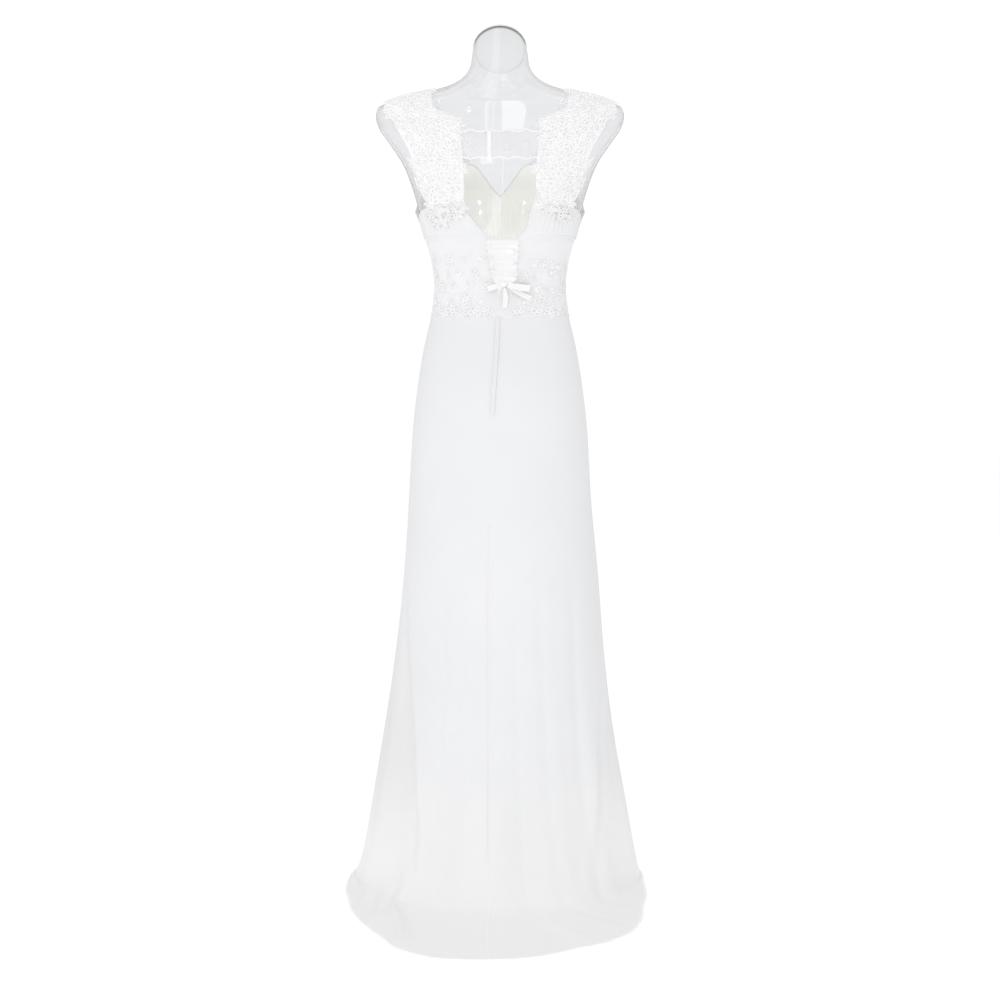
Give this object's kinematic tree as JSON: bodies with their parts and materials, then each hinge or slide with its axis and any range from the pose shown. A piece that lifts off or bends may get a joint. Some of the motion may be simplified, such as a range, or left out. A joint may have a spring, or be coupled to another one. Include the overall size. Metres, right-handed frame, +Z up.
{
  "type": "wedding dress on a limbless torso form with a stand",
  "caption": "Long white lace and chiffon wedding dress with a laced open back and a sweep train, worn by a clear torso form on a plain stand.",
  "frame": {"origin": "on the floor, under the middle of the stand's base, on the pole's axis", "axes": "+Z up; +Y towards the garment's front; +X towards the garment's right side as seen from its laced back"},
  "size_m": [0.5189, 0.5994, 1.4666],
  "materials": {
    "chiffon": "fine matt chiffon over a soft lining",
    "lace": "corded floral lace, matt",
    "net": "sheer fine net",
    "satin": "soft satin sheen",
    "clear_plastic": "clear, glossy",
    "pearl": "pearl, satin gloss",
    "steel": "brushed"
  },
  "bodies": {
    "root": {"skirt_front": "chiffon", "skirt_back_left": "chiffon", "skirt_back_right": "chiffon", "midriff_front": "chiffon", "midriff_back_left": "chiffon", "midriff_back_right": "chiffon", "bust_cup_left": "chiffon", "bust_cup_right": "chiffon", "back_wing_left": "chiffon", "back_wing_right": "chiffon", "zip_placket": "chiffon", "lace_strap_left": "lace", "lace_strap_right": "lace", "lace_overlay_front": "lace", "lace_overlay_back_left": "lace", "lace_overlay_back_right": "lace", "yoke_closure": "lace", "back_yoke_left": "net", "back_yoke_right": "net", "loop_cord_left": "satin", "loop_cord_right": "satin", "lacing_ribbon": "satin", "bow_knot": "satin", "bow_loop_left": "satin", "bow_loop_right": "satin", "bow_tail_right": "satin", "bow_tail_lower": "satin", "form_body": "clear_plastic", "neck_cap": "pearl", "stand_flange": "steel", "stand_pole": "steel", "stand_base": "steel"}
  },
  "joints": []
}
